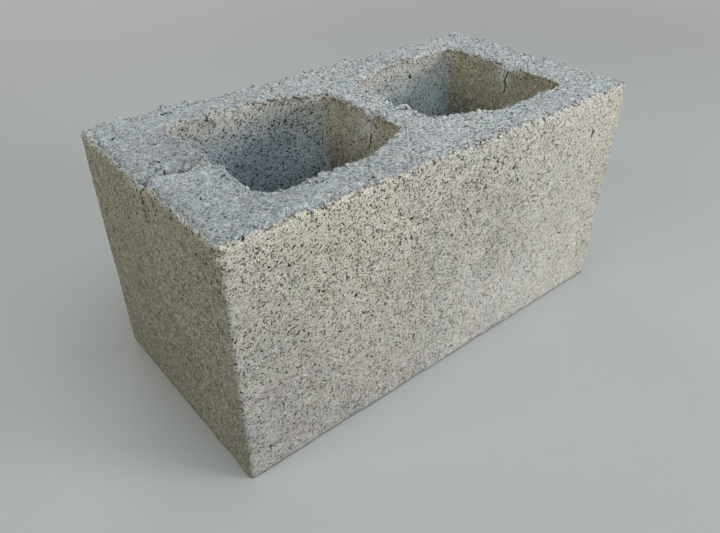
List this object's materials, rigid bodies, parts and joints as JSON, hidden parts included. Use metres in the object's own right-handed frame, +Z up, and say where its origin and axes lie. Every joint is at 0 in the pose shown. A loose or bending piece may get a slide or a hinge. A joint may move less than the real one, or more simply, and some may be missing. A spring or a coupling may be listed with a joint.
{
  "type": "hollow concrete block",
  "caption": "Rectangular hollow masonry block with tapered vertical cores, a flared centre web and plain ends, laid on its bed faces in mortar.",
  "frame": {"origin": "middle of the lower bed face, on which the block stands", "axes": "+X along the length, +Y across the width, +Z up through the cores to the rough upper bed face"},
  "size_m": [0.4, 0.2, 0.2],
  "materials": {
    "concrete": "matte"
  },
  "bodies": {
    "root": {"hollow_block": "concrete"}
  },
  "joints": []
}
